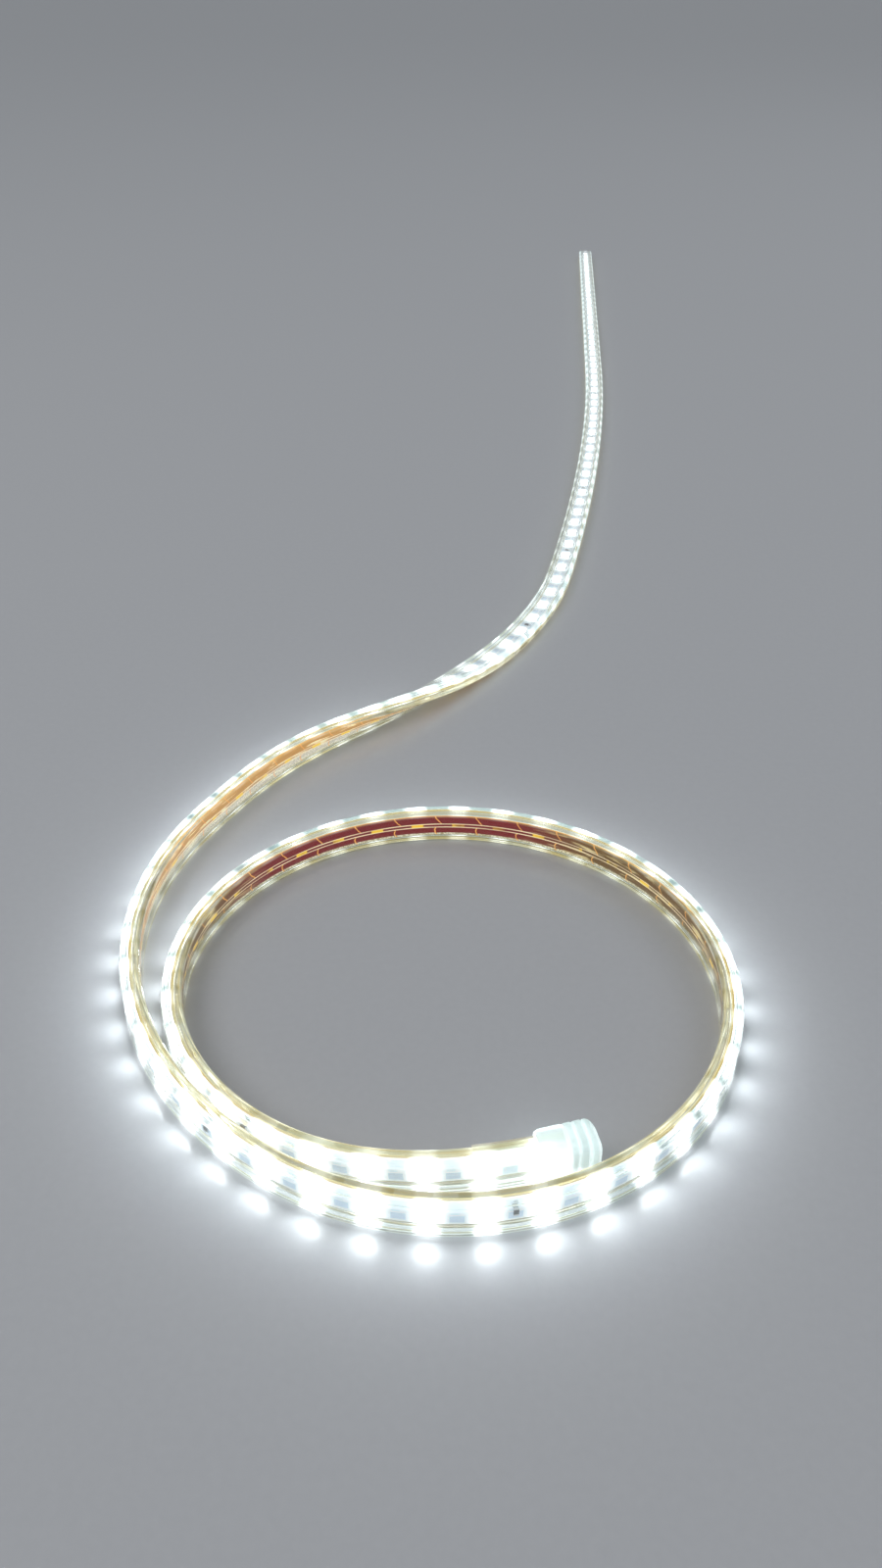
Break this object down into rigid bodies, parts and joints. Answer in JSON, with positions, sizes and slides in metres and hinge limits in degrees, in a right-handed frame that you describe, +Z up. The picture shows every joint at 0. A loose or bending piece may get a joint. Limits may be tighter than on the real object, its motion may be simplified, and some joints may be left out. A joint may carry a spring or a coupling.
{
  "type": "led strip light",
  "caption": "Clear sleeved mains LED strip, two metres long, coiled on its edge with a moulded end cap and a free tail lying flat with a square cut end.",
  "frame": {"origin": "middle of the bounding box on the floor plane that the strip lies on", "axes": "+Z up, +Y from the coil towards the free tail's cut end, +X to the right as the picture sees it"},
  "size_m": [0.2708, 1.2648, 0.0183],
  "materials": {
    "clear_pvc": "clear soft PVC, glossy",
    "milky_pvc": "translucent moulded PVC, satin",
    "led_board": "white solder mask with cool white LEDs",
    "copper_wire": "stranded copper seen through the sleeve"
  },
  "bodies": {
    "root": {"pvc_sleeve": "clear_pvc", "sealing_collar": "clear_pvc", "end_cap": "milky_pvc", "led_board_1": "led_board", "led_board_2": "led_board", "bus_wire_a": "copper_wire", "bus_wire_b": "copper_wire"}
  },
  "joints": []
}
